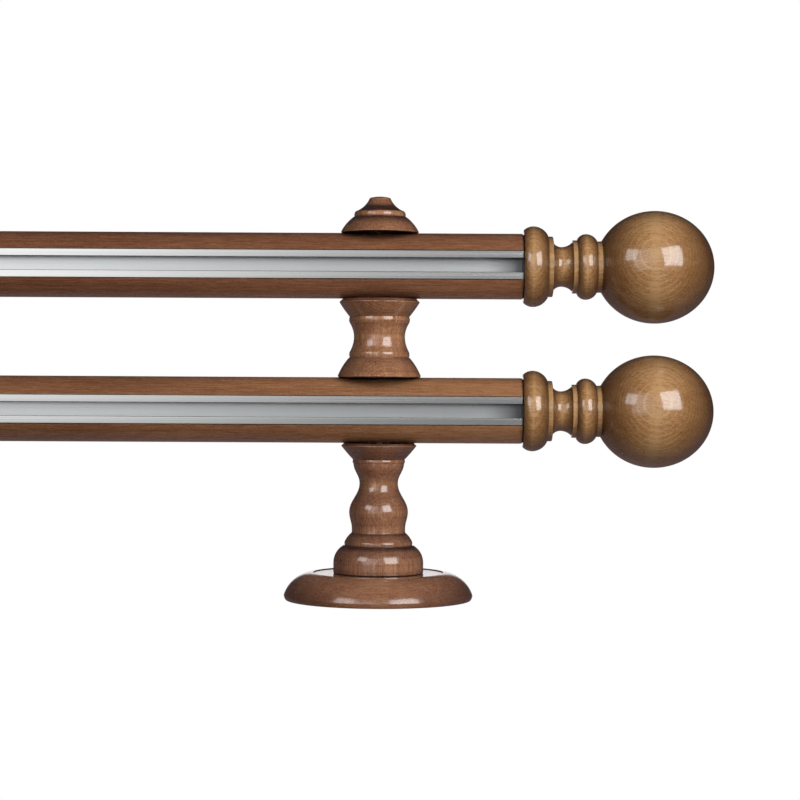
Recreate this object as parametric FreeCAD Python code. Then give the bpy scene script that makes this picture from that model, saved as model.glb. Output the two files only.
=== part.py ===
import FreeCAD
import Part
import math
import os

# Double curtain pole of turned wood with a track in the underside of each pole.
# Millimetres. +X runs along the poles, +Y points into the wall, +Z is up as hung.
# The origin lies on the wall, midway between the two brackets.

# Poles
pole_length = 1000.0
pole_diameter = 28.0
pole_edge_ease = 0.8
bracket_inset = 61.0

# Tracks let into the undersides of the poles
track_width = 12.2
track_depth = 8.0
track_wall = 1.2
track_slot = 5.8
track_edge_round = 0.3
track_side_gap = 0.12
track_recess = 0.2
track_end_setback = 0.4

# Small rings and double curves of the bracket
ring_bulge = 0.2
ogee_lead = 0.4

# Wall rose, from the wall outwards
rose_back_radius = 39.4
rose_edge_length = 2.1
rose_radius = 40.2
rose_dome_length = 9.5
rose_dome_bulge = 0.32
rose_flat_radius = 27.7
rose_flat_sink = 0.35

# Bracket arm, from the rose to the rear pole
spigot_radius = 10.0
arm_foot_edge = 0.6
arm_foot_radius = 19.2
arm_foot_length = 3.9
arm_dome_length = 7.5
arm_dome_end_radius = 14.8
arm_collar_radius = 14.35
arm_collar_length = 1.65
arm_shoulder_length = 3.7
arm_shoulder_bulge = 0.12
arm_neck_radius = 11.4
arm_neck_length = 1.5
arm_vase_rise_length = 7.2
arm_vase_radius = 12.55
arm_vase_fall_length = 12.2
arm_waist_radius = 8.2
arm_cove_length = 8.6
arm_cove_end_radius = 10.85
arm_ring_radius = 11.05
arm_ring_length = 1.5
arm_flare_length = 5.9
arm_flare_bulge = 0.03
arm_rim_radius = 16.15
arm_rim_bevel = 1.1

# Pole spacer, from the rear pole to the front pole
spacer_foot_edge = 0.6
spacer_foot_radius = 17.75
spacer_bell_length = 7.8
spacer_bell_bulge = 0.09
spacer_bell_end_radius = 12.95
spacer_lower_ring_radius = 12.65
spacer_lower_ring_length = 2.45
spacer_cove_lower_length = 6.35
spacer_waist_radius = 10.9
spacer_cove_upper_length = 6.0
spacer_upper_ring_radius = 12.75
spacer_upper_ring_length = 2.5
spacer_flare_length = 6.25
spacer_flare_bulge = 0.04
spacer_rim_radius = 17.2
spacer_rim_bevel = 1.45

# End cap, from the front pole outwards
cap_foot_edge = 0.5
cap_foot_radius = 16.6
cap_dome_length = 6.3
cap_dome_bulge = 0.12
cap_dome_end_radius = 11.3
cap_ring_radius = 10.85
cap_ring_length = 1.5
cap_ring_round_length = 1.1
cap_ring_top_radius = 9.9
cap_ring_round_bulge = 0.3
cap_cove_length = 5.5
cap_cove_bulge = 0.2
cap_tip_radius = 4.4
cap_tip_rise = 0.6

# Ball finial, from the pole end outwards
collar_back_radius = 15.4
collar_back_length = 4.2
collar_radius = 17.2
collar_front_length = 6.3
collar_front_radius = 13.3
collar_ring_radius = 12.9
collar_ring_length = 2.0
finial_cove_start_radius = 10.8
finial_cove_back_length = 3.7
finial_cove_radius = 8.45
finial_cove_front_length = 4.6
finial_cove_end_radius = 10.5
bead_ring_radius = 11.35
bead_ring_length = 2.0
bead_start_radius = 11.7
bead_back_length = 3.8
bead_radius = 14.0
bead_front_length = 4.6
bead_end_radius = 11.4
finial_neck_radius = 10.95
finial_neck_length = 2.0
ball_radius = 24.0
ball_half_length = 25.45

# Rods, screws and threaded sleeves
rod_radius = 2.5
rod_hole_gap = 0.25
rod_end_gap = 0.6
thread_gap = 0.05
sleeve_wall = 1.5
arm_sleeve_length = 12.0
cap_sleeve_length = 9.0
wall_thread_radius = 3.4
wall_sleeve_wall = 2.2
wall_sleeve_length = 16.0
screw_radius = 2.5
screw_tip_radius = 0.6
screw_tip_length = 4.0
screw_grip = 24.0
glue_gap = 0.05

# Sizes that follow from those above
pole_radius = pole_diameter / 2
rose_thickness = rose_edge_length + rose_dome_length - rose_flat_sink
groove_width = track_width + 2 * track_side_gap
groove_edge_height = -math.sqrt(pole_radius**2 - (groove_width / 2) ** 2)
track_face_height = groove_edge_height + track_recess
groove_floor_height = track_face_height + track_depth
sleeve_radius = rod_radius + thread_gap + sleeve_wall
wall_sleeve_radius = wall_thread_radius + wall_sleeve_wall
bracket_offset = pole_length / 2 - bracket_inset

origin = FreeCAD.Vector(0, 0, 0)
along_x = FreeCAD.Vector(1, 0, 0)
along_y = FreeCAD.Vector(0, 1, 0)
up = FreeCAD.Vector(0, 0, 1)


class Turning:
    """Outline of a turned piece, drawn along +X from its first face, radius by radius."""

    def __init__(self, radius):
        self.reach = 0.0
        self.radius = 0.0
        self.edges = []
        self.step(radius)

    def corner(self):
        return FreeCAD.Vector(self.reach, self.radius, 0)

    def line(self, length, radius):
        start = self.corner()
        self.reach += length
        self.radius = radius
        self.edges.append(Part.makeLine(start, self.corner()))

    def step(self, radius):
        self.line(0.0, radius)

    def arc(self, length, radius, bulge):
        """Round stretch; a positive bulge swells outwards, a negative one hollows."""
        start = self.corner()
        half_sag = bulge / 2
        middle = start + FreeCAD.Vector(length, radius - self.radius, 0) / 2
        middle += FreeCAD.Vector(self.radius - radius, length, 0) * half_sag
        self.reach += length
        self.radius = radius
        self.edges.append(Part.Arc(start, middle, self.corner()).toShape())

    def leave(self, length, radius):
        """Round stretch that starts parallel to the axis."""
        slope = math.atan2(radius - self.radius, length)
        self.arc(length, radius, -math.tan(slope / 2))

    def arrive(self, length, radius):
        """Round stretch that ends parallel to the axis."""
        slope = math.atan2(radius - self.radius, length)
        self.arc(length, radius, math.tan(slope / 2))

    def ogee(self, length, radius):
        """Double curve that starts and ends parallel to the axis."""
        start = self.corner()
        lead = along_x * length * ogee_lead
        self.reach += length
        self.radius = radius
        end = self.corner()
        curve = Part.BezierCurve()
        curve.setPoles([start, start + lead, end - lead, end])
        self.edges.append(curve.toShape())

    def ball(self, half_length, radius):
        """Ball that grows out of the present radius and closes on the axis."""
        start_angle = math.pi - math.asin(self.radius / radius)
        centre = self.reach - half_length * math.cos(start_angle)
        oval = Part.Ellipse(
            FreeCAD.Vector(centre + half_length, 0, 0),
            FreeCAD.Vector(centre, radius, 0),
            FreeCAD.Vector(centre, 0, 0),
        )
        self.edges.append(Part.ArcOfEllipse(oval, 0, start_angle).toShape())
        self.reach = centre + half_length
        self.radius = 0.0

    def solid(self):
        if self.radius > 0:
            self.step(0.0)
        self.edges.append(Part.makeLine(self.corner(), origin))
        outline = Part.Wire(Part.__sortEdges__(self.edges))
        return Part.Face(outline).revolve(origin, along_x, 360)


def bore(radius, start, length):
    """Round hole or rod on the X axis."""
    return Part.makeCylinder(radius, length, FreeCAD.Vector(start, 0, 0), along_x)


def sleeve(radius, hole_radius, length):
    return bore(radius, 0, length).cut(bore(hole_radius, 0, length))


def grooved_pole():
    """Pole on the X axis, drilled for the two tie rods and the two finial screws."""
    ease = pole_edge_ease
    bar = Turning(pole_radius - ease)
    bar.line(ease, pole_radius)
    bar.line(pole_length - 2 * ease, pole_radius)
    bar.line(ease, pole_radius - ease)
    pole = bar.solid()
    groove = Part.makeBox(pole_length, groove_width, pole_diameter)
    groove.translate(FreeCAD.Vector(0, -groove_width / 2, groove_floor_height - pole_diameter))
    cuts = [groove]
    screw_hole = screw_radius + glue_gap
    screw_depth = screw_grip + rod_end_gap
    cuts.append(bore(screw_hole, 0, screw_depth))
    cuts.append(bore(screw_hole, pole_length - screw_depth, screw_depth))
    for place in (bracket_inset, pole_length - bracket_inset):
        entry = FreeCAD.Vector(place, -pole_diameter, 0)
        cuts.append(Part.makeCylinder(rod_radius + rod_hole_gap, 2 * pole_diameter, entry, along_y))
    return pole.cut(cuts)


def track():
    """C-track on the X axis; its slot faces down, flush below the groove's edges."""
    half = track_width / 2
    slot = track_slot / 2
    face = track_face_height
    back = groove_floor_height
    inner = half - track_wall
    right_side = [
        (half, back),
        (half, face),
        (slot, face),
        (slot, face + track_wall),
        (inner, face + track_wall),
        (inner, back - track_wall),
    ]
    left_side = [(-across, height) for across, height in reversed(right_side)]
    corners = [FreeCAD.Vector(0, across, height) for across, height in right_side + left_side]
    section = Part.Face(Part.makePolygon(corners + corners[:1]))
    length = pole_length - 2 * track_end_setback
    bar = section.extrude(along_x * length)
    lip_edges = []
    for edge in bar.Edges:
        low = edge.BoundBox.ZMax < face + track_edge_round
        if low and edge.BoundBox.XLength > track_width:
            lip_edges.append(edge)
    bar = bar.makeFillet(track_edge_round, lip_edges)
    bar.translate(along_x * track_end_setback)
    return bar


def finial():
    """Ball finial with collar, cove and bead, turned in one piece."""
    knob = Turning(collar_back_radius)
    knob.arrive(collar_back_length, collar_radius)
    knob.leave(collar_front_length, collar_front_radius)
    knob.step(collar_ring_radius)
    knob.line(collar_ring_length, collar_ring_radius)
    knob.step(finial_cove_start_radius)
    knob.arrive(finial_cove_back_length, finial_cove_radius)
    knob.leave(finial_cove_front_length, finial_cove_end_radius)
    knob.step(bead_ring_radius)
    knob.line(bead_ring_length, bead_ring_radius)
    knob.step(bead_start_radius)
    knob.arrive(bead_back_length, bead_radius)
    knob.leave(bead_front_length, bead_end_radius)
    knob.step(finial_neck_radius)
    knob.line(finial_neck_length, finial_neck_radius)
    knob.ball(ball_half_length, ball_radius)
    return knob.solid().cut(bore(screw_radius + glue_gap, 0, screw_grip + rod_end_gap))


def finial_screw():
    """Double ended screw, half in the pole and half in the finial."""
    screw = Turning(screw_tip_radius)
    screw.line(screw_tip_length, screw_radius)
    screw.line(2 * (screw_grip - screw_tip_length), screw_radius)
    screw.line(screw_tip_length, screw_tip_radius)
    shank = screw.solid()
    shank.translate(along_x * -screw_grip)
    return shank


def wall_rose():
    disc = Turning(rose_back_radius)
    disc.arrive(rose_edge_length, rose_radius)
    disc.arc(rose_dome_length, rose_flat_radius, rose_dome_bulge)
    disc.line(-rose_flat_sink, rose_flat_radius)
    return disc.solid().cut(bore(spigot_radius + glue_gap, 0, rose_thickness))


def bracket_arm():
    """Arm with a spigot through the rose; returns the piece and the reach of its seat."""
    arm = Turning(spigot_radius)
    arm.line(rose_thickness, spigot_radius)
    arm.step(arm_foot_radius - arm_foot_edge)
    arm.arrive(arm_foot_edge, arm_foot_radius)
    arm.line(arm_foot_length, arm_foot_radius)
    arm.leave(arm_dome_length, arm_dome_end_radius)
    arm.step(arm_collar_radius)
    arm.arc(arm_collar_length, arm_collar_radius, ring_bulge)
    arm.arc(arm_shoulder_length, arm_neck_radius, arm_shoulder_bulge)
    arm.line(arm_neck_length, arm_neck_radius)
    arm.ogee(arm_vase_rise_length, arm_vase_radius)
    arm.ogee(arm_vase_fall_length, arm_waist_radius)
    arm.ogee(arm_cove_length, arm_cove_end_radius)
    arm.step(arm_ring_radius)
    arm.arc(arm_ring_length, arm_ring_radius, ring_bulge)
    arm.arc(arm_flare_length, arm_rim_radius, arm_flare_bulge)
    arm.line(arm_rim_bevel, arm_rim_radius - arm_rim_bevel)
    seat = arm.reach
    wall_hole = bore(wall_sleeve_radius + glue_gap, 0, wall_sleeve_length)
    rod_hole = bore(sleeve_radius + glue_gap, seat - arm_sleeve_length, arm_sleeve_length)
    return arm.solid().cut([wall_hole, rod_hole]), seat


def pole_spacer():
    """Spacer drilled through for the tie rod; returns the piece and its height."""
    stem = Turning(spacer_foot_radius - spacer_foot_edge)
    stem.arrive(spacer_foot_edge, spacer_foot_radius)
    stem.arc(spacer_bell_length, spacer_bell_end_radius, spacer_bell_bulge)
    stem.step(spacer_lower_ring_radius)
    stem.arc(spacer_lower_ring_length, spacer_lower_ring_radius, ring_bulge)
    stem.ogee(spacer_cove_lower_length, spacer_waist_radius)
    stem.ogee(spacer_cove_upper_length, spacer_upper_ring_radius)
    stem.arc(spacer_upper_ring_length, spacer_upper_ring_radius, ring_bulge)
    stem.arc(spacer_flare_length, spacer_rim_radius, spacer_flare_bulge)
    stem.line(spacer_rim_bevel, spacer_rim_radius - spacer_rim_bevel)
    height = stem.reach
    return stem.solid().cut(bore(rod_radius + rod_hole_gap, 0, height)), height


def end_cap():
    cap = Turning(cap_foot_radius - cap_foot_edge)
    cap.arrive(cap_foot_edge, cap_foot_radius)
    cap.arc(cap_dome_length, cap_dome_end_radius, cap_dome_bulge)
    cap.step(cap_ring_radius)
    cap.arc(cap_ring_length, cap_ring_radius, ring_bulge)
    cap.arc(cap_ring_round_length, cap_ring_top_radius, cap_ring_round_bulge)
    cap.arc(cap_cove_length, cap_tip_radius, -cap_cove_bulge)
    cap.arc(cap_tip_rise, 0.0, math.tan(math.atan2(cap_tip_rise, cap_tip_radius) / 2))
    return cap.solid().cut(bore(sleeve_radius + glue_gap, 0, cap_sleeve_length))


def tie_rod(length):
    return bore(rod_radius, 0, length)


def out_from_wall(shape, side, reach):
    """Copy of a piece drawn along +X, turned to point away from the wall at one bracket."""
    placed = shape.copy()
    placed.rotate(origin, up, -90)
    placed.translate(FreeCAD.Vector(side * bracket_offset, -reach, 0))
    return placed


def along_pole(shape, start, reach, turn):
    """Copy of a piece drawn along +X, set at one place on a pole's axis."""
    placed = shape.copy()
    placed.rotate(origin, up, turn)
    placed.translate(FreeCAD.Vector(start, -reach, 0))
    return placed


def main():
    arm, arm_seat = bracket_arm()
    spacer, spacer_height = pole_spacer()
    rear_reach = arm_seat + pole_radius
    spacer_reach = rear_reach + pole_radius
    front_reach = spacer_reach + spacer_height + pole_radius
    cap_reach = front_reach + pole_radius
    rod_start = arm_seat - arm_sleeve_length + rod_end_gap
    rod_end = cap_reach + cap_sleeve_length - rod_end_gap
    rod_sleeve_hole = rod_radius + thread_gap

    pole = grooved_pole()
    pole_track = track()
    knob = finial()
    screw = finial_screw()
    nodes = {}
    for name, reach in (("rear", rear_reach), ("front", front_reach)):
        nodes[f"{name}_pole"] = along_pole(pole, -pole_length / 2, reach, 0)
        nodes[f"{name}_track"] = along_pole(pole_track, -pole_length / 2, reach, 0)
        for side_name, side, turn in (("right", 1, 0), ("left", -1, 180)):
            end = side * pole_length / 2
            nodes[f"finial_{name}_{side_name}"] = along_pole(knob, end, reach, turn)
            nodes[f"finial_screw_{name}_{side_name}"] = along_pole(screw, end, reach, turn)

    stack = (
        ("wall_rose", wall_rose(), 0.0),
        ("bracket_arm", arm, 0.0),
        ("wall_insert", sleeve(wall_sleeve_radius, wall_thread_radius, wall_sleeve_length), 0.0),
        ("arm_insert", sleeve(sleeve_radius, rod_sleeve_hole, arm_sleeve_length), arm_seat - arm_sleeve_length),
        ("pole_spacer", spacer, spacer_reach),
        ("end_cap", end_cap(), cap_reach),
        ("cap_insert", sleeve(sleeve_radius, rod_sleeve_hole, cap_sleeve_length), cap_reach),
        ("tie_rod", tie_rod(rod_end - rod_start), rod_start),
    )
    for name, shape, reach in stack:
        for side_name, side in (("right", 1), ("left", -1)):
            nodes[f"{name}_{side_name}"] = out_from_wall(shape, side, reach)

    os.makedirs("parts", exist_ok=True)
    for name, shape in nodes.items():
        shape.exportStep(f"parts/{name}.step")
        print(name, "solids", len(shape.Solids), "valid", shape.isValid(), "volume", round(shape.Volume, 1))
    print("rear pole reach", round(rear_reach, 3), "front pole reach", round(front_reach, 3))
    print("track face", round(track_face_height, 3), "groove floor", round(groove_floor_height, 3))


main()
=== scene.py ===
# %% [markdown]
# # A double curtain pole in turned wood
# Two wooden poles lie one before the other on a pair of turned brackets. Each pole has an aluminium
# track let into its underside, for the curtain's gliders, and a ball screwed to both of its ends.
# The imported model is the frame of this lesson. It fixes every size and place, in metres: +X runs along
# the poles, +Y points into the wall and +Z is up as the pole hangs. The lesson gives each visible piece
# a clean smooth skin and its finish, then sets up a small studio and looks at the pole from below.

# %% Load the frame
import math

import bmesh
import bpy
from mathutils import Euler, Matrix, Vector


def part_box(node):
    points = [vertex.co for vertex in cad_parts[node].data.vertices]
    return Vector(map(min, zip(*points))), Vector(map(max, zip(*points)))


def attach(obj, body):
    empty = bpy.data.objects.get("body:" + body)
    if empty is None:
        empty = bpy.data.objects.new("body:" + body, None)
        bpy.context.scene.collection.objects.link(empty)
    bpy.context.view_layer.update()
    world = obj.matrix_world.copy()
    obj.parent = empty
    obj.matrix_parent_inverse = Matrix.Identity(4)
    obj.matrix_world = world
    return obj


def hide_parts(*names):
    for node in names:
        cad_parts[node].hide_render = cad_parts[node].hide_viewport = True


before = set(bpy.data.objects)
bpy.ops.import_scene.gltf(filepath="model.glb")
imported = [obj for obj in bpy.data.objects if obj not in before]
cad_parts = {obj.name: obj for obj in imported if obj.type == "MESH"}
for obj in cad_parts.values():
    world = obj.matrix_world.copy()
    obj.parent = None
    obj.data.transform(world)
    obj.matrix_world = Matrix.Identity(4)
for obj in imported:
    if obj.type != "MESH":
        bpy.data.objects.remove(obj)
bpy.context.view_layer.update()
MM = 0.001
print("nodes in the frame:", len(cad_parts))

# %% [markdown]
# ## Working on one piece at a time
# An operator acts on everything that is selected, and the loaded nodes are all selected. So each step
# first makes one piece the only selected object, opens its mesh, and then picks corners or edges by
# where they are, as a hand with a mouse would.


# %% Selecting by place
def take(piece):
    """Makes one piece the only selected object."""
    bpy.ops.object.select_all(action="DESELECT")
    piece.select_set(True)
    bpy.context.view_layer.objects.active = piece


def open_mesh(piece):
    """Opens one piece in edit mode with its whole mesh selected."""
    take(piece)
    bpy.ops.object.mode_set(mode="EDIT")
    bpy.ops.mesh.select_all(action="SELECT")


def close_mesh():
    """Goes back to object mode."""
    bpy.ops.object.mode_set(mode="OBJECT")


def pick_corners(piece, wanted):
    """Selects the corners of an open mesh that pass a test and returns how many they are."""
    bpy.ops.mesh.select_mode(type="VERT")
    mesh = bmesh.from_edit_mesh(piece.data)
    for corner in mesh.verts:
        corner.select_set(wanted(corner))
    mesh.select_flush_mode()
    bmesh.update_edit_mesh(piece.data)
    return sum(corner.select for corner in mesh.verts)


def pick_edges(piece, wanted):
    """Selects the edges of an open mesh that pass a test and returns how many they are."""
    bpy.ops.mesh.select_mode(type="EDGE")
    mesh = bmesh.from_edit_mesh(piece.data)
    bpy.ops.mesh.select_all(action="DESELECT")
    for edge in mesh.edges:
        if wanted(*edge.verts):
            edge.select_set(True)
    bmesh.update_edit_mesh(piece.data)
    return sum(edge.select for edge in mesh.edges)


print("helpers for selecting are ready")

# %% [markdown]
# ## Smooth shading
# Lacquered wood shows every facet as a broken reflection. A smooth skin needs shared corners and
# shading that runs on over gentle turns and stops at sharp ones. The Weighted Normal modifier then
# lets the large faces lead, so that flat seats stay flat up to their softened edges.

# %% Shading helper
SHARP_TURN = math.radians(50)


def smooth_skin(piece):
    """Shades a finished mesh smooth, keeps its sharp turns and lets its large faces lead."""
    take(piece)
    bpy.ops.object.shade_smooth_by_angle(angle=SHARP_TURN)
    lead = piece.modifiers.new("lead", "WEIGHTED_NORMAL")
    lead.keep_sharp = True
    bpy.ops.object.modifier_apply(modifier=lead.name)


print("smooth up to", round(math.degrees(SHARP_TURN)), "degrees")

# %% [markdown]
# ## The lathe
# Balls, roses, arms, spacers and caps are turned on a lathe: the wood spins and the tool follows an
# outline. The same works here. A copy of the node is merged and cut along its axis, so that only half
# of its outline is left. The corners of the outline are eased, because a sanded and lacquered edge is
# never quite sharp, and the outline is spun round the axis into a skin with even faces.

# %% Copy a node and keep half of its outline
SAME_PLACE = 0.001 * MM
STRAIGHT_TURN = math.radians(0.4)


def copy_of(source, name):
    """Copies an object with its own mesh, free of the frame."""
    take(source)
    bpy.ops.object.duplicate()
    piece = bpy.context.view_layer.objects.active
    piece.name = piece.data.name = name
    piece.parent = None
    for mark in list(piece.keys()):
        del piece[mark]
    return piece


def half_outline(node, name, keep):
    """Copies a turned node, merges it, cuts it level and keeps one half of the outline."""
    piece = copy_of(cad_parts[node], name)
    bpy.ops.mesh.customdata_custom_splitnormals_clear()
    open_mesh(piece)
    bpy.ops.mesh.remove_doubles(threshold=SAME_PLACE)
    bpy.ops.mesh.bisect(
        plane_co=(0, 0, 0), plane_no=(0, 0, 1), clear_inner=True, clear_outer=True, threshold=SAME_PLACE
    )
    pick_corners(piece, lambda corner: not keep(corner.co))
    bpy.ops.mesh.delete(type="VERT")
    bpy.ops.mesh.select_all(action="SELECT")
    bpy.ops.mesh.remove_doubles(threshold=SAME_PLACE)
    bpy.ops.mesh.dissolve_limited(angle_limit=STRAIGHT_TURN)
    return piece


print("outlines are merged within", SAME_PLACE, "m")

# %% Ease the outline and spin it
LATHE_STEPS = 128
CORNER_TURN = math.radians(22)
LARGE_EASE = 0.26 * MM
SMALL_EASE = 0.11 * MM
EASE_ROOM = 2.2
EASE_STEPS = 3


def ease_corners(piece, ease):
    """Rounds the corners of an outline where both sides are long enough for it."""

    def is_corner(corner):
        if len(corner.link_edges) != 2:
            return False
        sides = [edge.other_vert(corner).co - corner.co for edge in corner.link_edges]
        turn = math.pi - sides[0].angle(sides[1])
        return turn > CORNER_TURN and min(side.length for side in sides) > EASE_ROOM * ease

    found = pick_corners(piece, is_corner)
    bpy.ops.mesh.bevel(offset=ease, segments=EASE_STEPS, affect="VERTICES", clamp_overlap=True)
    return found


def turn_on_lathe(piece, centre, axis):
    """Eases an outline, spins it round its axis and closes the skin."""
    eased = ease_corners(piece, LARGE_EASE) + ease_corners(piece, SMALL_EASE)
    bpy.ops.mesh.select_all(action="SELECT")
    bpy.ops.mesh.spin(steps=LATHE_STEPS, angle=2 * math.pi, center=centre, axis=axis)
    bpy.ops.mesh.select_all(action="SELECT")
    bpy.ops.mesh.remove_doubles(threshold=SAME_PLACE)
    bpy.ops.mesh.normals_make_consistent(inside=False)
    close_mesh()
    smooth_skin(piece)
    print(piece.name, "corners eased", eased, "faces", len(piece.data.polygons))


print("the lathe takes", LATHE_STEPS, "steps a turn")

# %% [markdown]
# ## Ball finials
# Each finial is one turning: a collar against the pole, a small ring, a cove, a bead and the ball. One
# is spun for the front pole's right end, from the half of its outline that lies on the wall side. The
# other three are copies, moved to the rear pole or turned half round to the left end.

# %% Turn one finial
FINIAL_AXIS = (1, 0, 0)


def axis_point(node):
    """The middle of a node's box, which lies on the axis of a turned piece."""
    low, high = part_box(node)
    return (low + high) / 2


front_end = axis_point("finial_front_right")
rear_end = axis_point("finial_rear_right")
finial = half_outline(
    "finial_front_right", "ball_finial_front_right", lambda place: place.y > front_end.y - SAME_PLACE
)
turn_on_lathe(finial, front_end, FINIAL_AXIS)

# %% Copy the finial to the other three ends
to_rear = rear_end - front_end


def shifted(source, name, move):
    """A copy of a piece with its mesh moved."""
    piece = copy_of(source, name)
    open_mesh(piece)
    bpy.ops.transform.translate(value=move)
    close_mesh()
    return piece


def turned_round(source, name, centre):
    """A copy of a piece with its mesh turned half round an upright axis."""
    piece = copy_of(source, name)
    open_mesh(piece)
    bpy.ops.transform.rotate(value=math.pi, orient_axis="Z", center_override=centre)
    close_mesh()
    return piece


finials = {"front_right": finial}
finials["rear_right"] = shifted(finial, "ball_finial_rear_right", to_rear)
for row, end in (("front", front_end), ("rear", rear_end)):
    middle = (0, end.y, 0)
    finials[f"{row}_left"] = turned_round(finials[f"{row}_right"], f"ball_finial_{row}_left", middle)
for place, piece in finials.items():
    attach(piece, "root")
    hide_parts(f"finial_{place}")
print("finials:", sorted(finials))

# %% [markdown]
# ## The spacer's cove
# The spacer has a ring at either end of its waist, and between them the tool has cut one plain hollow.
# In the node that hollow eases into the rings. Here each half becomes a plain curve that meets its ring
# at an edge, so that the lacquer shows one pair of lights on the waist and a fine line on the ring.

# %% Hollow out a cove
COVE_MARKS = (10.85 * MM, 17.2 * MM, 23.2 * MM)
SKIN_RADIUS = 8 * MM


def hollow_cove(piece, seat, axis_x):
    """Gives an open outline one plain hollow from ring to waist to ring, measured out from its seat."""
    mesh = bmesh.from_edit_mesh(piece.data)
    skin = [corner for corner in mesh.verts if corner.co.x - axis_x > SKIN_RADIUS]
    near, waist, far = [
        min(skin, key=lambda corner: abs(corner.co.y - seat + mark)).co.copy() for mark in COVE_MARKS
    ]
    hollow = [corner for corner in skin if far.y < corner.co.y < near.y]
    for corner in hollow:
        ring = near if corner.co.y > waist.y else far
        share = (corner.co.y - waist.y) / (ring.y - waist.y)
        corner.co.x = waist.x + (ring.x - waist.x) * share * share
    bmesh.update_edit_mesh(piece.data)
    print(piece.name, "corners in the cove:", len(hollow))


print("the waist lies", COVE_MARKS[1], "m from the seat")

# %% [markdown]
# ## The bracket's turnings
# A bracket is a stack of four turnings with the poles between them: the rose against the wall, the arm
# with its vase and foot, the spacer between the poles and the cap on the front pole. Their common axis
# runs straight out from the wall, so one loop spins all four on the right and copies them to the left.

# %% Turn the right bracket and copy it
BRACKET_AXIS = (0, 1, 0)
TURNINGS = {
    "wall_rose": "wall_disc",
    "bracket_arm": "turned_arm",
    "pole_spacer": "turned_spacer",
    "end_cap": "turned_cap",
}
bracket_x = axis_point("bracket_arm_right").x
spacer_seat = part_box("pole_spacer_right")[1].y
bracket = {}
for node, name in TURNINGS.items():
    piece = half_outline(
        f"{node}_right", f"{name}_right", lambda place: place.x > bracket_x - SAME_PLACE
    )
    if node == "pole_spacer":
        hollow_cove(piece, spacer_seat, bracket_x)
    turn_on_lathe(piece, (bracket_x, 0, 0), BRACKET_AXIS)
    bracket[f"{node}_right"] = piece
    bracket[f"{node}_left"] = shifted(piece, f"{name}_left", (-2 * bracket_x, 0, 0))
for node, piece in bracket.items():
    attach(piece, "root")
    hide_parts(node)
print("bracket pieces:", sorted(bracket))

# %% [markdown]
# ## Poles
# A pole is a dowel with a groove along its underside. A cylinder with many sides gives the dowel, a
# bevel eases its end rims, and a block is carved out of it for the groove. The drilled holes for the
# tie rods and the finial screws are carved the same way, so the new pole keeps the form of its node.

# %% Measure the pole and its groove in the frame
pole_low, pole_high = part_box("front_pole")
track_low, track_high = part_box("front_track")
pole_radius = (pole_high.y - pole_low.y) / 2
pole_half = (pole_high.x - pole_low.x) / 2
front_axis = Vector((0, (pole_low.y + pole_high.y) / 2, 0))
print("pole", round(2 * pole_half, 4), "m long, radius", round(pole_radius, 5), "m, axis at", front_axis)


# %% Carving helpers
def block(low, high):
    """Adds a block between two corners."""
    bpy.ops.mesh.primitive_cube_add(size=1, location=(low + high) / 2, scale=high - low)
    bpy.ops.object.transform_apply(location=True, rotation=True, scale=True)
    return bpy.context.view_layer.objects.active


def dowel(radius, length, centre, turn, sides):
    """Adds a round bar of one length about a centre, turned from upright."""
    bpy.ops.mesh.primitive_cylinder_add(
        vertices=sides, radius=radius, depth=length, location=centre, rotation=turn
    )
    bpy.ops.object.transform_apply(location=True, rotation=True, scale=True)
    return bpy.context.view_layer.objects.active


def carve(piece, cutter):
    """Takes a cutter's shape out of a piece and removes the cutter."""
    take(piece)
    cut = piece.modifiers.new("cut", "BOOLEAN")
    cut.operation = "DIFFERENCE"
    cut.solver = "EXACT"
    cut.object = cutter
    bpy.ops.object.modifier_apply(modifier=cut.name)
    bpy.data.meshes.remove(cutter.data)


print("carving helpers are ready")

# %% Shape the front pole
ALONG_X = (0, math.pi / 2, 0)
ALONG_Y = (math.pi / 2, 0, 0)
POLE_SIDES = 192
RIM_EASE = 0.8 * MM
RIM_STEPS = 3


def on_end_rim(a, b):
    """Whether an edge lies on the rim of one of the pole's ends."""
    level = abs(a.co.x - b.co.x) < SAME_PLACE
    return level and abs(abs(a.co.x) - pole_half) < SAME_PLACE


bpy.ops.object.select_all(action="DESELECT")
front_pole = dowel(pole_radius, 2 * pole_half, front_axis, ALONG_X, POLE_SIDES)
front_pole.name = front_pole.data.name = "grooved_pole_front"
open_mesh(front_pole)
rims = pick_edges(front_pole, on_end_rim)
bpy.ops.mesh.bevel(offset=RIM_EASE, segments=RIM_STEPS, affect="EDGES")
close_mesh()
print("rim edges eased:", rims, "faces now", len(front_pole.data.polygons))

# %% Carve the groove and the drilled holes
PAST_END = 5 * MM
GROOVE_GAP = 0.12 * MM
ROD_HOLE_RADIUS = 2.75 * MM
ROD_HOLE_LENGTH = 3 * pole_radius
SCREW_HOLE_RADIUS = 2.55 * MM
SCREW_HOLE_DEPTH = 24.6 * MM
HOLE_SIDES = 32
groove_low = Vector((-pole_half - PAST_END, track_low.y - GROOVE_GAP, -pole_radius - PAST_END))
groove_high = Vector((pole_half + PAST_END, track_high.y + GROOVE_GAP, track_high.z))
carve(front_pole, block(groove_low, groove_high))
for side in (-1, 1):
    rod_hole = front_axis + Vector((side * bracket_x, 0, 0))
    carve(front_pole, dowel(ROD_HOLE_RADIUS, ROD_HOLE_LENGTH, rod_hole, ALONG_Y, HOLE_SIDES))
    screw_hole = front_axis + Vector((side * pole_half, 0, 0))
    carve(front_pole, dowel(SCREW_HOLE_RADIUS, 2 * SCREW_HOLE_DEPTH, screw_hole, ALONG_X, HOLE_SIDES))
print("grooved and drilled, faces", len(front_pole.data.polygons))

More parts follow.
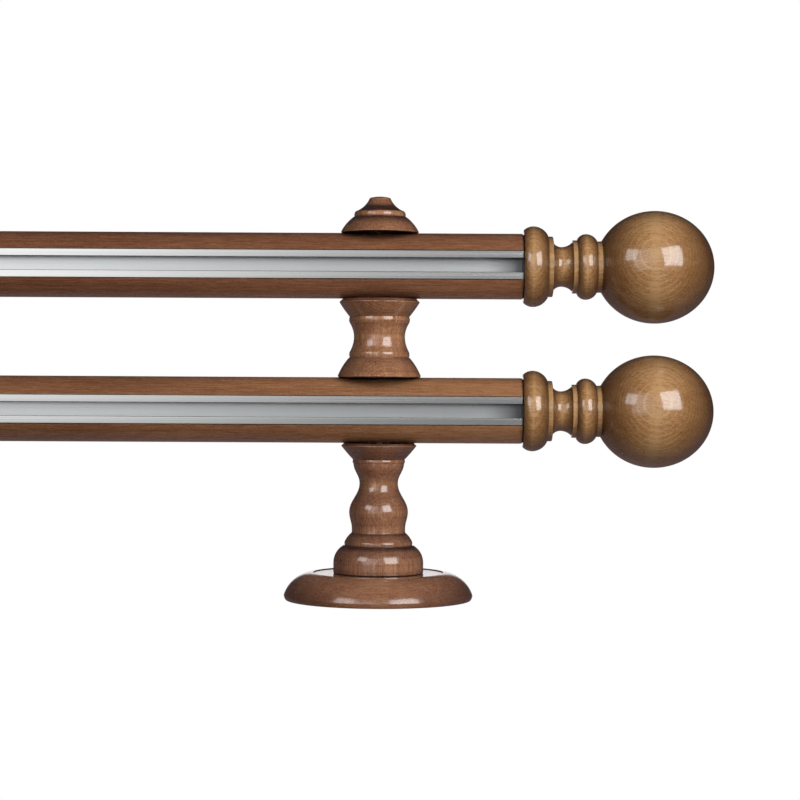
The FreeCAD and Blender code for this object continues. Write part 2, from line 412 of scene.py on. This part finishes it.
# %% Ease the groove's edges and copy the pole
GROOVE_EASE = 0.18 * MM
GROOVE_STEPS = 2
EDGE_REACH = 0.005 * MM
track_half = track_high.y - front_axis.y


def on_groove_edge(a, b):
    """Whether an edge lies on one of the groove's two long edges, the lowest lines of the pole."""
    offsets = [abs(corner.co.y - front_axis.y) for corner in (a, b)]
    low = max(a.co.z, b.co.z) < pole_low.z + EDGE_REACH
    return low and min(offsets) > track_half and max(offsets) < track_half + 2 * GROOVE_GAP


open_mesh(front_pole)
bpy.ops.mesh.remove_doubles(threshold=SAME_PLACE)
groove_edges = pick_edges(front_pole, on_groove_edge)
bpy.ops.mesh.bevel(offset=GROOVE_EASE, segments=GROOVE_STEPS, affect="EDGES")
close_mesh()
smooth_skin(front_pole)
rear_pole = shifted(front_pole, "grooved_pole_rear", to_rear)
for piece, node in ((front_pole, "front_pole"), (rear_pole, "rear_pole")):
    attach(piece, "root")
    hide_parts(node)
print("groove edges eased:", groove_edges)

# %% [markdown]
# ## Tracks
# A track is one aluminium extrusion: a channel with two lips that leave a slot for the gliders. It
# could be drawn as a section and pulled out lengthwise. Here a bar the size of the node has its channel
# and its slot carved out, which keeps every wall at its real thickness, and a bevel rounds the long
# edges as an extrusion die does. Those rounded edges give the thin bright lines along the lips.

# %% Shape the front track and copy it
TRACK_WALL = 1.2 * MM
SLOT_HALF = 2.9 * MM
LIP_ROUND = 0.28 * MM
LIP_STEPS = 3
LIP_TURN = math.radians(40)
bpy.ops.object.select_all(action="DESELECT")
front_track = block(track_low, track_high)
front_track.name = front_track.data.name = "glider_track_front"
inside = Vector((-PAST_END, TRACK_WALL, TRACK_WALL))
carve(front_track, block(track_low + inside, track_high - inside))
slot_low = Vector((track_low.x - PAST_END, front_axis.y - SLOT_HALF, track_low.z - PAST_END))
slot_high = Vector((track_high.x + PAST_END, front_axis.y + SLOT_HALF, track_low.z + 2 * TRACK_WALL))
carve(front_track, block(slot_low, slot_high))
rounding = front_track.modifiers.new("rounding", "BEVEL")
rounding.width = LIP_ROUND
rounding.segments = LIP_STEPS
rounding.angle_limit = LIP_TURN
take(front_track)
bpy.ops.object.modifier_apply(modifier=rounding.name)
smooth_skin(front_track)
rear_track = shifted(front_track, "glider_track_rear", to_rear)
for piece, node in ((front_track, "front_track"), (rear_track, "rear_track")):
    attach(piece, "root")
    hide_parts(node)
print("track faces:", len(front_track.data.polygons))

# %% [markdown]
# ## Sums with sockets
# A finish is a small calculation over the surface. Written as Python sums it stays readable, so one
# class wraps a socket of the node tree, and each sign adds a Math node. Every other node comes from the
# method node, which sets the node's settings first and then fills or links its sockets.

# %% Value class
COLOUR_INPUTS = (6, 7)
COLOUR_OUTPUT = 2


class Value:
    """A socket in a node tree that takes part in Python sums."""

    def __init__(self, tree, socket=None):
        self.tree = tree
        self.socket = socket

    def node(self, kind, settings=None, sockets=None, output=0):
        """Adds a node, settings first, and returns one of its outputs."""
        node = self.tree.nodes.new(kind)
        for name, setting in (settings or {}).items():
            setattr(node, name, setting)
        for name, value in (sockets or {}).items():
            if isinstance(value, Value):
                value.into(node, name)
            else:
                node.inputs[name].default_value = value
        return Value(self.tree, node.outputs[output])

    def into(self, node, name):
        """Links this value to one input of a node."""
        self.tree.links.new(self.socket, node.inputs[name])

    def reckon(self, operation, *terms):
        """Adds a Math node."""
        return self.node("ShaderNodeMath", {"operation": operation}, dict(enumerate(terms)))

    def __add__(self, other):
        return self.reckon("ADD", self, other)

    def __sub__(self, other):
        return self.reckon("SUBTRACT", self, other)

    def __rsub__(self, other):
        return self.reckon("SUBTRACT", other, self)

    def __mul__(self, other):
        return self.reckon("MULTIPLY", self, other)

    def __truediv__(self, other):
        return self.reckon("DIVIDE", self, other)

    def __pow__(self, other):
        return self.reckon("POWER", self, other)

    __radd__ = __add__
    __rmul__ = __mul__

    def fraction(self):
        """What is left over a whole number."""
        return self.reckon("FRACT", self)

    def size(self):
        """The value without its sign."""
        return self.reckon("ABSOLUTE", self)

    def rise(self, start, end):
        """0 below the start and 1 above the end, with a smooth rise between; falls if end < start."""
        return self.node(
            "ShaderNodeMapRange",
            {"interpolation_type": "SMOOTHSTEP"},
            {"Value": self, "From Min": start, "From Max": end},
        )

    def stretched(self, factors):
        """A vector with each part multiplied by its own factor."""
        return self.node("ShaderNodeVectorMath", {"operation": "MULTIPLY"}, {0: self, 1: factors})

    def dot(self, axis):
        """How far a vector points along an axis."""
        return self.node("ShaderNodeVectorMath", {"operation": "DOT_PRODUCT"}, {0: self, 1: axis}, "Value")

    def noise(self, factors, detail=2.0, roughness=0.5):
        """Cloudy noise over coordinates that are stretched first; about 0.5 on average."""
        return self.node(
            "ShaderNodeTexNoise",
            None,
            {"Vector": self.stretched(factors), "Scale": 1.0, "Detail": detail, "Roughness": roughness},
        )

    def part(self, name):
        """The X, Y or Z part of a vector."""
        return self.node("ShaderNodeSeparateXYZ", None, {0: self}, name)

    def mix(self, first, second):
        """Blends two colours by this value."""
        low, high = COLOUR_INPUTS
        return self.node(
            "ShaderNodeMix",
            {"data_type": "RGBA", "clamp_factor": True},
            {"Factor": self, low: first, high: second},
            COLOUR_OUTPUT,
        )


print("Value class is ready")


# %% Colours and new materials
def paint(red, green, blue):
    """A colour as seen on a screen, 0 to 255, in the linear values that a socket takes."""
    linear = []
    for tone in (red, green, blue):
        share = tone / 255
        linear.append(share / 12.92 if share <= 0.04045 else ((share + 0.055) / 1.055) ** 2.4)
    return (*linear, 1.0)


def new_finish(name):
    """A material with one Principled shader; returns the material, the shader and a Value to start from."""
    material = bpy.data.materials.new(name)
    material.use_nodes = True
    return material, material.node_tree.nodes["Principled BSDF"], Value(material.node_tree)


def dress(piece, material):
    """Gives a piece one material."""
    piece.data.materials.clear()
    piece.data.materials.append(material)


print("a middle grey is", round(paint(128, 128, 128)[0], 3))

# %% [markdown]
# ## Figure of the wood
# The turnings are stained beech under a clear lacquer. Wood is solid, so its figure is worked out in
# space, in millimetres, and the lathe's shape cuts through it. Growth layers lie round a far pith and
# come out as fine pale rings where a form is cut level with them. Short dark flecks and fine fibres run
# along the grain everywhere, and the lathe leaves faint lines round each turning. Noise does all of it:
# its three factors say how many waves a millimetre holds along the fibre, along the layers and out
# through them. A Mapping node turns each piece's own grain, because no two pieces come from the same
# place in the tree.

# %% Grain and growth layers
LAYER_MM = 1.0
PITH_MM = 60.0
WANDER = (0.02, 0.04, 0.04)
WANDER_MM = 2.0
SPACING = (0.002, 0.004, 0.15)
SPACING_LAYERS = 2.5
LINE_EDGE = (0.22, 0.03)
PATCHES = (0.06, 0.15, 0.15)
PATCH_EDGE = (0.25, 0.55)
MIDDLE = 0.5


def wood_grain(start, centre, turn):
    """Millimetres along the fibre (X), along the layers (Y) and out through them (Z)."""
    place = start.node("ShaderNodeTexCoord", output="Object")
    return start.node(
        "ShaderNodeMapping",
        {"vector_type": "TEXTURE"},
        {"Vector": place, "Location": centre, "Rotation": turn, "Scale": (MM, MM, MM)},
    )


def growth_lines(grain):
    """Thin lines where one growth layer ends, from 0 to 1."""
    along = grain.part("Y")
    out = grain.part("Z") + PITH_MM
    depth = (along * along + out * out) ** 0.5 + grain.noise(WANDER, detail=1.0) * WANDER_MM
    layer = (depth / LAYER_MM + grain.noise(SPACING, detail=1.0) * SPACING_LAYERS).fraction()
    line = (layer - MIDDLE).size().rise(*LINE_EDGE)
    return line * grain.noise(PATCHES).rise(*PATCH_EDGE)


print("layers", LAYER_MM, "mm apart")

# %% Flecks, lathe lines and the figure as a whole
FLECK_CELLS = (0.8, 3.2, 3.2)
FLECK_EDGE = (0.45, 0.15)
FLECK_GROUPS = (0.3, 1.0, 1.0)
GROUP_EDGE = (0.4, 0.6)
LATHE_LINES = (1.3, 0.015, 0.015)
LATHE_EDGE = (0.52, 0.7)
CLOUD = (0.012, 0.045, 0.045)
STREAKS = (0.008, 0.3, 0.3)
FIBRES = (0.09, 1.6, 1.6)
PORES = (1.1, 2.4, 2.4)


def ray_flecks(grain):
    """Short dark dashes along the fibre, from 0 to 1."""
    cells = grain.stretched(FLECK_CELLS)
    near = grain.node("ShaderNodeTexVoronoi", None, {"Vector": cells, "Scale": 1.0})
    return near.rise(*FLECK_EDGE) * grain.noise(FLECK_GROUPS, detail=1.0).rise(*GROUP_EDGE)


def lathe_lines(grain):
    """Faint dark lines round the axis of a turning, from 0 to 1."""
    return grain.noise(LATHE_LINES, roughness=0.7).rise(*LATHE_EDGE)


def wood_figure(grain):
    """The noises and flecks that a piece's tone and relief share."""
    return {
        "cloud": grain.noise(CLOUD),
        "streaks": grain.noise(STREAKS),
        "fibres": grain.noise(FIBRES, detail=3.0, roughness=0.65),
        "pores": grain.noise(PORES),
        "flecks": ray_flecks(grain),
    }


print("flecks and fibres are ready")

# %% [markdown]
# ## Stain, painted shade and lacquer
# Stain soaks in more where the fibres are cut across, so end grain is darker. Shade is painted into the
# colour too: darker where the layers are cut across, which is round each outline as the camera sees it,
# darker on slopes like the bracket's seats, and darker in grooves, under seats and between parts. A pale
# sheen is painted in where the fibres lie level with the surface. Each wood has four tones, from the
# deepest to the palest, and a look that says how strong each of these effects is. The lacquer is the
# shader's coat, and a bump of less than a tenth of a millimetre lets the grain break its gloss a little.

# %% Where the stain is deep and where shade is painted
FIBRE = (1, 0, 0)
LAYERS = (0, 0, 1)
GROOVE_SAMPLES = 8
GROOVE_EDGE = (0.85, 0.25)


def facing(start, turn, axis):
    """1 where the surface looks along an axis of the turned grain, 0 where it lies level with that axis."""
    grain_axis = Euler(turn).to_matrix() @ Vector(axis)
    return start.node("ShaderNodeNewGeometry", output="Normal").dot(grain_axis).size()


def painted_groove_shade(start, reach):
    """Painted shade: 1 deep in a groove or under a seat, 0 on open faces."""
    open_sky = start.node(
        "ShaderNodeAmbientOcclusion", {"samples": GROOVE_SAMPLES}, {"Distance": reach}, "AO"
    )
    return open_sky.rise(*GROOVE_EDGE)


print("fibre runs along", FIBRE, "and layers lie across", LAYERS)

# %% Tone, painted sheen and light, stain and painted shade
TONE_SHARES = {"cloud": 0.5, "streaks": 0.4, "fibres": 0.9, "pores": 0.8}
FLECK_SHARE = 0.45
NARROW_PAINTED_SHEEN = (0.13, 0.02)
WIDE_PAINTED_SHEEN = (0.5, 0.05)
PAINTED_LIGHT_END_MM = (270.0, 500.0)
DARK_TO_MIDDLE = (-0.05, 0.52)
MIDDLE_TO_LIGHT = (0.4, 1.05)
END_GRAIN = (0.15, 0.92)
SEAT_PAINTED_SHADE = (0.6, 0.8)
EDGE_PAINTED_SHADE = (0.95, 0.3)


def wood_tone(grain, figure, cut_across, look):
    """About 0 in dark wood and 1 in light wood, plus a painted shine and painted light at the right end."""
    tone = sum(((figure[kind] - MIDDLE) * share for kind, share in TONE_SHARES.items()), start=MIDDLE)
    tone = tone + growth_lines(grain) * look["rings"]
    tone = tone - figure["flecks"] * FLECK_SHARE - lathe_lines(grain) * look["lathe"]
    # Painted sheen: the tone is raised in a narrow band and a wide glow where the fibres lie level with the
    # surface.
    painted_sheen = cut_across.rise(*NARROW_PAINTED_SHEEN) + cut_across.rise(*WIDE_PAINTED_SHEEN)
    # Painted light: the tone rises towards the right end of a piece, as if the lamps lit it more there.
    return tone + painted_sheen * look["painted_sheen"] + grain.part("X").rise(*PAINTED_LIGHT_END_MM) * look["painted_light_end"]


def stain_and_painted_shade(tone, deep_stain_and_painted_shade, tones):
    """The colour of a tone, darkened where staining goes deep and where shade is painted."""
    deep, dark, middle, light = tones
    colour = tone.rise(*DARK_TO_MIDDLE).mix(dark, middle)
    colour = tone.rise(*MIDDLE_TO_LIGHT).mix(colour, light)
    for amount in deep_stain_and_painted_shade:
        colour = amount.mix(colour, deep)
    return colour


print("figure in the tone:", TONE_SHARES)

# %% Wood finish
RELIEF_SHARES = {"fibres": 0.4, "pores": 0.9, "flecks": -0.6}
SKIN = (0.35, 0.35, 0.35)
SKIN_SHARE = 4.0
WOOD_RELIEF = {"Strength": 0.4, "Distance": 0.05 * MM}
FIBRE_ROUGHNESS = 0.1


def wood(name, centre, turn, tones, look):
    """Stained and lacquered wood with its own grain, tones and look, with shade and shine painted in."""
    material, shader, start = new_finish(name)
    grain = wood_grain(start, centre, turn)
    figure = wood_figure(grain)
    cut_across = facing(start, turn, FIBRE)
    deep_stain_and_painted_shade = (
        cut_across.rise(*END_GRAIN) * look["ends"],
        # Painted shade: darker where a surface slopes half way to the fibre, as the seats under the poles
        # do.
        cut_across.rise(*SEAT_PAINTED_SHADE) * look["painted_seat_shade"],
        # Painted shade: darker where the surface lies level with the layers' axis; that axis points at the
        # camera, so this darkens each outline as seen from below.
        facing(start, turn, LAYERS).rise(*EDGE_PAINTED_SHADE) * look["edges"],
        # Painted shade in grooves, under seats and between parts, from how much of the room is hidden close
        # by.
        painted_groove_shade(start, look["reach"]) * look["shade"],
    )
    stain_and_painted_shade(wood_tone(grain, figure, cut_across, look), deep_stain_and_painted_shade, tones).into(shader, "Base Color")
    (figure["fibres"] * FIBRE_ROUGHNESS + look["gloss"]).into(shader, "Roughness")
    skin = grain.noise(SKIN, detail=1.0) * SKIN_SHARE
    relief = sum((figure[kind] * share for kind, share in RELIEF_SHARES.items()), start=skin)
    start.node("ShaderNodeBump", None, {**WOOD_RELIEF, "Height": relief}).into(shader, "Normal")
    shader.inputs["Coat Weight"].default_value = 1.0
    shader.inputs["Coat Roughness"].default_value = look["coat"]
    return material


print("wood finish is ready")

# %% [markdown]
# ## A wood for each piece
# The balls are the palest and yellowest wood, the spacers and caps are redder, arms and roses redder
# and darker still, and the poles are a plain dark dowel with light painted on towards the right end.
# Balls are turned with their layers level with the picture, so that rings lie round the middle of the
# ball and the painted edge shade lies round its outline.
# The bracket's turnings have their fibre along their axis, and the rose is cut from a flat board.

# %% Tones and looks
BALL_TONES = (paint(58, 31, 13), paint(124, 80, 46), paint(166, 120, 76), paint(200, 158, 110))
ARM_TONES = (paint(46, 28, 32), paint(104, 64, 50), paint(150, 103, 77), paint(188, 142, 106))
SPACER_TONES = (paint(46, 27, 31), paint(114, 71, 54), paint(168, 116, 84), paint(212, 164, 116))
FRONT_POLE_TONES = (paint(40, 23, 24), paint(92, 55, 40), paint(130, 85, 60), paint(164, 114, 82))
REAR_POLE_TONES = (paint(40, 23, 24), paint(100, 62, 44), paint(138, 93, 64), paint(176, 127, 88))
# In each look, the shade and reach set the painted shade in grooves and under seats, the seat and edge
# amounts set the painted shade on seat slopes and round outlines, and the sheen amount sets a painted
# sheen.
BALL_LOOK = {
    "rings": 0.22, "lathe": 0.06, "painted_sheen": 0.2, "painted_light_end": 0.0, "ends": 0.52, "painted_seat_shade": 0.0,
    "edges": 0.55, "reach": 5 * MM, "shade": 0.8, "gloss": 0.12, "coat": 0.05,
}
ARM_LOOK = {
    "rings": 0.18, "lathe": 0.2, "painted_sheen": 0.06, "painted_light_end": 0.0, "ends": 0.35, "painted_seat_shade": 0.8,
    "edges": 0.4, "reach": 5 * MM, "shade": 0.8, "gloss": 0.12, "coat": 0.07,
}
ROSE_LOOK = {
    "rings": 0.1, "lathe": 0.0, "painted_sheen": 0.06, "painted_light_end": 0.0, "ends": 0.6, "painted_seat_shade": 0.0,
    "edges": 0.0, "reach": 5 * MM, "shade": 0.8, "gloss": 0.16, "coat": 0.13,
}
# The poles get light painted on towards their right ends, the rear pole more.
FRONT_POLE_LOOK = {
    "rings": 0.08, "lathe": 0.0, "painted_sheen": 0.0, "painted_light_end": 0.17, "ends": 0.6, "painted_seat_shade": 0.0,
    "edges": 0.0, "reach": 2 * MM, "shade": 0.12, "gloss": 0.22, "coat": 0.04,
}
REAR_POLE_LOOK = dict(FRONT_POLE_LOOK, painted_light_end=0.4)
print("effects in a look:", sorted(ARM_LOOK))


# %% Wood for the finials
def degrees(*angles):
    """Turns in degrees as the radians that a Mapping node takes."""
    return [math.radians(angle) for angle in angles]


# The layers face the camera, so the rings lie round the middle of each ball and the painted edge shade
# falls round its outline.
BALL_TURNS = {"front": degrees(170, 5, 0), "rear": degrees(172, 3, 4)}
for row, end in (("front", front_end), ("rear", rear_end)):
    finial_wood = wood(f"{row}_finial_wood", end, BALL_TURNS[row], BALL_TONES, BALL_LOOK)
    for side in ("right", "left"):
        dress(finials[f"{row}_{side}"], finial_wood)
print("finials dressed:", len(finials))

# %% Wood for the brackets
# This turn also points the layers at the camera, which puts the painted edge shade round each turning's
# outline.
FIBRE_ALONG_AXIS = degrees(165, 0, 90)
FLAT_BOARD = degrees(75, 0, 0)
BRACKET_CUTS = {
    "wall_rose": (FLAT_BOARD, ARM_TONES, ROSE_LOOK),
    "bracket_arm": (FIBRE_ALONG_AXIS, ARM_TONES, ARM_LOOK),
    "pole_spacer": (FIBRE_ALONG_AXIS, SPACER_TONES, ARM_LOOK),
    "end_cap": (FIBRE_ALONG_AXIS, SPACER_TONES, ARM_LOOK),
}
for node, piece in bracket.items():
    turn, tones, look = BRACKET_CUTS[node.rsplit("_", 1)[0]]
    dress(piece, wood(f"{node}_wood", axis_point(node), turn, tones, look))
print("bracket pieces dressed:", len(bracket))

# %% Wood for the poles
FRONT_POLE_TURN = (1.2, 0, 0.004)
REAR_POLE_TURN = (2.4, 0, 0.004)
for piece, centre, turn, tones, look in (
    (front_pole, front_axis, FRONT_POLE_TURN, FRONT_POLE_TONES, FRONT_POLE_LOOK),
    (rear_pole, front_axis + to_rear, REAR_POLE_TURN, REAR_POLE_TONES, REAR_POLE_LOOK),
):
    dress(piece, wood(f"{piece.name}_wood", centre, turn, tones, look))
print("wood materials:", len([m for m in bpy.data.materials if m.name.endswith("_wood")]))

# %% [markdown]
# ## Metals
# The track is drawn aluminium with a satin skin: fine lines run its whole length, so noise is stretched
# along X until it becomes lines, and they change the tone, the roughness and the relief a little. The
# inside of the channel is slightly greyer and duller than the lips, and painted shade darkens it towards
# the finials that close its ends. The hidden rods and screws are black plated steel and the threaded
# sleeves are brass, both with a faint cloudy tarnish.

# %% Metal finish
CHANNEL_GREY = paint(222, 225, 226)
CHANNEL_DULL = 0.1
CHANNEL_END_PAINTED_SHADE = paint(124, 125, 130)
CHANNEL_END = (0.482, 0.502)
METAL_RELIEF = {"Strength": 0.25, "Distance": 0.03 * MM}
METAL_EDGE = (0.25, 0.75)


def metal(name, pale, dull, factors, gloss, spread, channel=None):
    """Metal whose tone, gloss and relief follow one noise; the channel is duller and has painted shade at
    its ends.
    """
    material, shader, start = new_finish(name)
    place = start.node("ShaderNodeTexCoord", output="Object")
    lines = place.noise(factors, detail=3.0, roughness=0.6)
    tone = lines.rise(*METAL_EDGE).mix(dull, pale)
    roughness = lines * spread + gloss
    if channel is not None:
        deep_in = place.part("Z").rise(channel, channel + TRACK_WALL)
        tone = deep_in.mix(tone, CHANNEL_GREY)
        # Painted shade: the inside of the channel darkens towards the finials that close its ends.
        tone = (deep_in * place.part("X").size().rise(*CHANNEL_END)).mix(tone, CHANNEL_END_PAINTED_SHADE)
        roughness = roughness + deep_in * CHANNEL_DULL
    tone.into(shader, "Base Color")
    roughness.into(shader, "Roughness")
    start.node("ShaderNodeBump", None, {**METAL_RELIEF, "Height": lines}).into(shader, "Normal")
    shader.inputs["Metallic"].default_value = 1.0
    return material


print("metal finish is ready")

# %% Aluminium, steel and brass
aluminium = metal(
    "satin_aluminium",
    pale=paint(239, 239, 237),
    dull=paint(208, 210, 211),
    factors=(3.0, 2600.0, 2600.0),
    gloss=0.16,
    spread=0.14,
    channel=track_low.z + TRACK_WALL,
)
steel = metal(
    "black_plated_steel",
    pale=paint(104, 104, 102),
    dull=paint(66, 66, 66),
    factors=(300.0, 300.0, 300.0),
    gloss=0.25,
    spread=0.25,
)
brass = metal(
    "sleeve_brass_finish",
    pale=paint(214, 178, 104),
    dull=paint(168, 130, 70),
    factors=(260.0, 260.0, 260.0),
    gloss=0.25,
    spread=0.2,
)
dress(front_track, aluminium)
dress(rear_track, aluminium)
for name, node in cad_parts.items():
    if "screw" in name or "rod" in name:
        dress(node, steel)
    elif "insert" in name:
        dress(node, brass)
print("metals:", aluminium.name, steel.name, brass.name)

# %% [markdown]
# ## Lamps
# The pole hangs in a bright room without walls. A large soft lamp stands to the right of the camera and
# a little above it in the picture, and a weaker one to the left: they give the two bright squares on
# every ball. A broad fill beside the camera softens the shadows, and two broad lamps above the pole
# light the sides that the picture doesn't show. These three light the wood without showing in its
# lacquer, so reflections don't see them.

# %% Lamps
LAMP_TARGET = Vector((0.5, -0.11, 0.0))
scene = bpy.context.scene


def soft_lamp(name, direction, distance, width, height, radiance, mirrored):
    """A rectangular lamp that looks at the pole from one direction."""
    data = bpy.data.lights.new(name, "AREA")
    data.shape = "RECTANGLE"
    data.size = width
    data.size_y = height
    data.energy = radiance * math.pi * width * height
    lamp = bpy.data.objects.new(name, data)
    scene.collection.objects.link(lamp)
    towards = Vector(direction).normalized()
    lamp.location = LAMP_TARGET + towards * distance
    level = Vector((0, 1, 0)).cross(towards).normalized()
    stand = Matrix((level, towards.cross(level), towards)).transposed()
    lamp.rotation_mode = "QUATERNION"
    lamp.rotation_quaternion = stand.to_quaternion()
    lamp.visible_camera = False
    lamp.visible_glossy = mirrored


LAMPS = {
    "key_lamp": {"direction": (0.503, -0.353, -0.789), "distance": 1.0, "width": 0.62, "height": 0.64,
                 "radiance": 5.0, "mirrored": True},
    "left_lamp": {"direction": (-0.668, -0.41, -0.621), "distance": 1.03, "width": 0.4, "height": 0.4,
                  "radiance": 2.9, "mirrored": True},
    "key_fill": {"direction": (0.16, -0.05, -0.55), "distance": 0.75, "width": 1.1, "height": 1.1,
                 "radiance": 0.85, "mirrored": False},
    "ceiling_lamp": {"direction": (-0.3, -0.45, 1.0), "distance": 1.9, "width": 2.4, "height": 1.2,
                     "radiance": 2.6, "mirrored": False},
    "wall_side_lamp": {"direction": (-0.5, 0.75, 0.9), "distance": 1.9, "width": 2.4, "height": 1.0,
                       "radiance": 2.2, "mirrored": False},
}
for name, lamp in LAMPS.items():
    soft_lamp(name, **lamp)
print("lamps:", sorted(LAMPS))

# %% [markdown]
# ## World
# Where the camera looks past the pole, the world is plain white. Lacquer and metal mirror it too, so a
# reflection sees the same white straight behind the pole. Everywhere else it sees a dim warm room, a
# little brighter on the wall side, and the faint light that the world sends to the wood itself keeps
# shaded sides dark.

# %% World
AMBIENT = 0.035
ROOM = 0.16
ROOM_TINT = (1.0, 0.75, 0.78, 1.0)
WHITE = (1.0, 1.0, 1.0, 1.0)
BACKDROP_EDGE = (0.975, 0.99)
WALL_SIDE = (-0.1, 0.99, 0.0)
WALL_SIDE_EDGE = (-0.3, 0.8)
LEAST_GLIMMER = 0.2
world = bpy.data.worlds.new("bright_room")
world.use_nodes = True
scene.world = world
room = Value(world.node_tree)
camera_ray = room.node("ShaderNodeLightPath", output="Is Camera Ray")
mirror_ray = room.node("ShaderNodeLightPath", output="Is Glossy Ray")
clear_ray = room.node("ShaderNodeLightPath", output="Is Transmission Ray")
reflected = (mirror_ray + clear_ray) * (1 - camera_ray)
unseen = 1 - camera_ray - reflected
towards = room.node("ShaderNodeTexCoord", output="Generated")
behind = towards.part("Z").rise(*BACKDROP_EDGE)
wall_side = towards.dot(WALL_SIDE).rise(*WALL_SIDE_EDGE)
glimmer = (wall_side * (1 - LEAST_GLIMMER) + LEAST_GLIMMER) * ROOM
backdrop = behind * (1 - glimmer) + glimmer
background = world.node_tree.nodes["Background"]
(camera_ray + reflected * behind).mix(ROOM_TINT, WHITE).into(background, "Color")
(camera_ray + reflected * backdrop + unseen * AMBIENT).into(background, "Strength")
print("world ready, ambient", AMBIENT)

# %% [markdown]
# ## Floor
# A pale floor lies far below, so wide that its edge is never seen. It turns white with distance, where
# it meets the white world. Metal shows whatever it faces, and the tracks face the floor, so there the
# floor works as a photographer's card: reflections see a soft patch on it that is bright on the left
# and dim on the right, and this gives the tracks their long even gradient.

# %% Card under the tracks
FLOOR_HEIGHT = -1.3
FLOOR_SIZE = 60.0
FLOOR_DIM = 0.05
CARD_DIM = 0.3
CARD_BRIGHT = 1.45
BRIGHT_RIGHT = (0.6, -0.05)
BRIGHT_LEFT = (-0.9, -0.5)
CARD_X = 0.1
CARD_Y = -0.55
CARD_WIDTH = (1.1, 0.6)
CARD_DEPTH = (0.85, 0.25)
bpy.ops.object.select_all(action="DESELECT")
bpy.ops.mesh.primitive_plane_add(size=FLOOR_SIZE, location=(0, 0, FLOOR_HEIGHT))
floor = bpy.context.view_layer.objects.active
floor.name = "floor"
floor_paint, floor_shader, start = new_finish("pale_floor")
floor_place = start.node("ShaderNodeTexCoord", output="Object")
floor_x = floor_place.part("X")
bright = floor_x.rise(*BRIGHT_RIGHT) * floor_x.rise(*BRIGHT_LEFT)
card = bright * (CARD_BRIGHT - CARD_DIM) + CARD_DIM
card = card * (floor_place.part("Y") - CARD_Y).size().rise(*CARD_DEPTH)
card = card * (floor_x - CARD_X).size().rise(*CARD_WIDTH)
print("floor at", FLOOR_HEIGHT, "m")

# %% Floor paint
FLOOR_GREY = (0.6, 0.6, 0.6, 1.0)
FLOOR_ROUGHNESS = 0.9
FLOOR_NEAR = (0.8, 0.8, 0.8, 1.0)
FLOOR_EDGE = (1.5, 6.0)
away = start.node("ShaderNodeVectorMath", {"operation": "LENGTH"}, {0: floor_place}, "Value")
away.rise(*FLOOR_EDGE).mix(FLOOR_NEAR, WHITE).into(floor_shader, "Emission Color")
floor_shader.inputs["Emission Strength"].default_value = 1.0
floor_shader.inputs["Base Color"].default_value = FLOOR_GREY
floor_shader.inputs["Roughness"].default_value = FLOOR_ROUGHNESS
seen = start.node("ShaderNodeLightPath", output="Is Camera Ray")
mirrored = start.node("ShaderNodeLightPath", output="Is Glossy Ray")
unlit = [tone * FLOOR_DIM for tone in ROOM_TINT]
glow = start.node("ShaderNodeEmission", None, {"Color": mirrored.mix(unlit, card)})
lit = Value(floor_paint.node_tree, floor_shader.outputs[0])
either = start.node("ShaderNodeMixShader", None, {0: seen, 1: glow, 2: lit})
either.into(floor_paint.node_tree.nodes["Material Output"], "Surface")
dress(floor, floor_paint)
print("floor paint:", floor_paint.name)

# %% [markdown]
# ## Camera
# The picture is taken square from below: the tracks face the camera, the wall is at the lower edge and
# the right ends of the poles are in view. The camera stands about 0.9 m away with a long lens and a
# slight roll.

# %% Camera
PICTURE = 800
SENSOR_MM = 36.0
FOCAL_PIXELS = 2080.0
MM_PER_PIXEL = 0.426
AIM = Vector((0.4479, -0.0850, 0.0))
HORIZON_RISE = 12
ROLL = math.radians(0.3)
camera_data = bpy.data.cameras.new("view_from_below")
camera_data.sensor_width = SENSOR_MM
camera_data.lens = SENSOR_MM * FOCAL_PIXELS / PICTURE
camera = bpy.data.objects.new("view_from_below", camera_data)
scene.collection.objects.link(camera)
distance = FOCAL_PIXELS * MM_PER_PIXEL * MM
camera.location = AIM + Vector((0, -HORIZON_RISE * MM_PER_PIXEL * MM, -distance))
ahead = (AIM - camera.location).normalized()
right = Vector((1, 0, 0))
upward = right.cross(ahead)
basis = Matrix((right, upward, -ahead)).transposed()
camera.rotation_mode = "QUATERNION"
camera.rotation_quaternion = (basis @ Matrix.Rotation(ROLL, 3, "Z")).to_quaternion()
scene.camera = camera
scene.view_settings.view_transform = "Standard"
print("camera", round(distance, 3), "m away, lens", round(camera_data.lens, 1), "mm")
